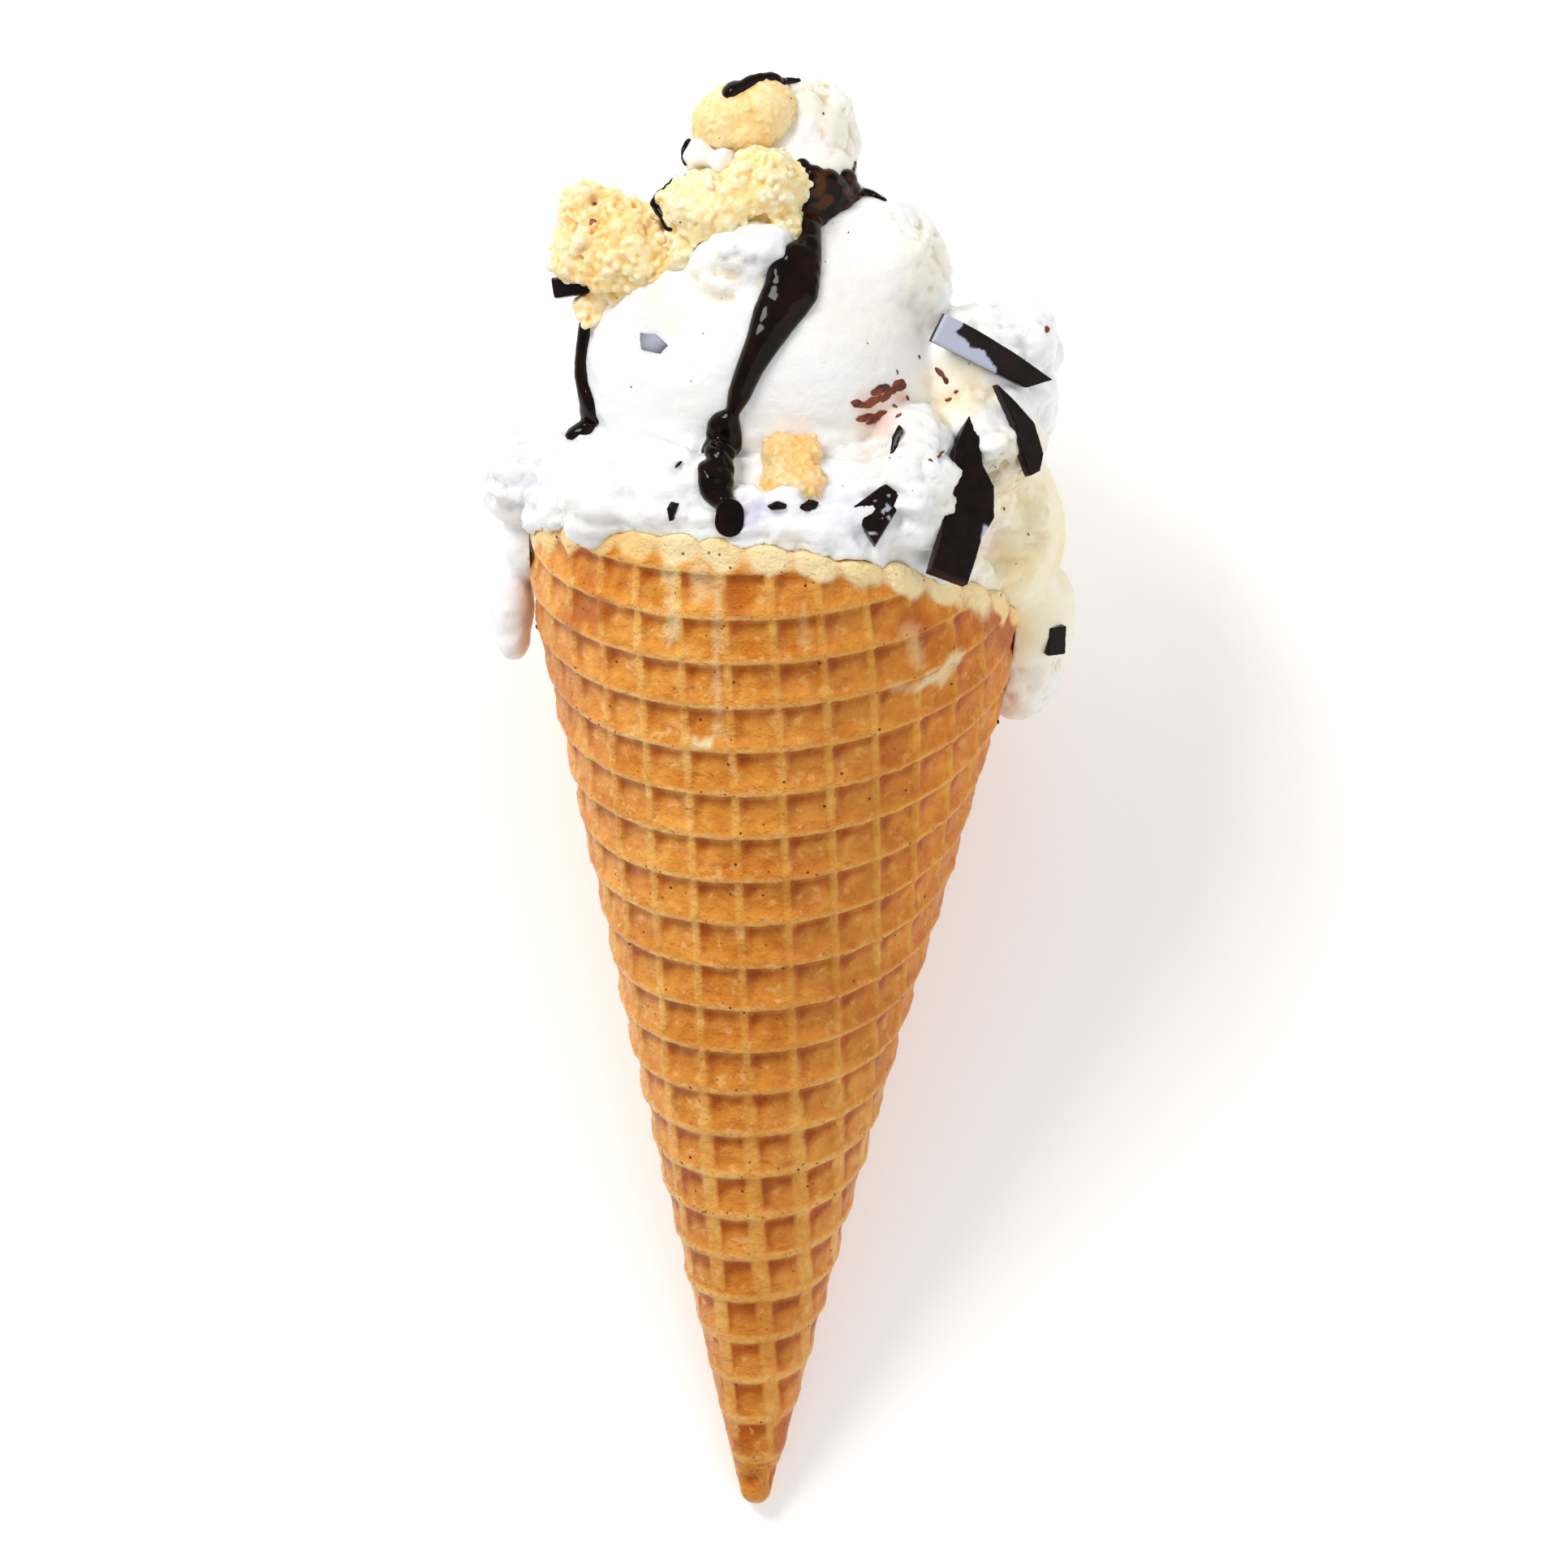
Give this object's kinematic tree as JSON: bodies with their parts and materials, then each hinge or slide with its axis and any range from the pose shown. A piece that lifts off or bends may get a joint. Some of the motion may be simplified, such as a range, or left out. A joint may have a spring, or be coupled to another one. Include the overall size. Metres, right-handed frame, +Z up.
{
  "type": "ice cream cone",
  "caption": "Vanilla ice cream in a rolled waffle cone with cake pieces, chocolate shards and dark sauce, lying on its side.",
  "frame": {"origin": "bottom centre of the bounding box, on the surface that the cone lies on", "axes": "+Y from the cone's tip towards the scoops, +Z up out of the shown side, +X to the right seen from above"},
  "size_m": [0.081, 0.196, 0.0708],
  "materials": {
    "wafer": "crisp baked sheet, golden brown ribs and darker pockets, satin",
    "ice_cream": "soft white to cream ice cream, smooth where scooped, crumbly at its edges",
    "cake": "pale yellow sponge crumb, matt",
    "chocolate": "near black chocolate, smooth faces with a soft gloss"
  },
  "bodies": {
    "root": {"waffle_cone": "wafer", "ice_cream": "ice_cream", "cake_left": "cake", "cake_middle": "cake", "cake_top": "cake", "cake_front": "cake", "chocolate_long": "chocolate", "chocolate_curved": "chocolate", "chocolate_tall": "chocolate", "chocolate_broad": "chocolate", "chocolate_chunk_left": "chocolate", "chocolate_chunk_right": "chocolate"}
  },
  "joints": []
}
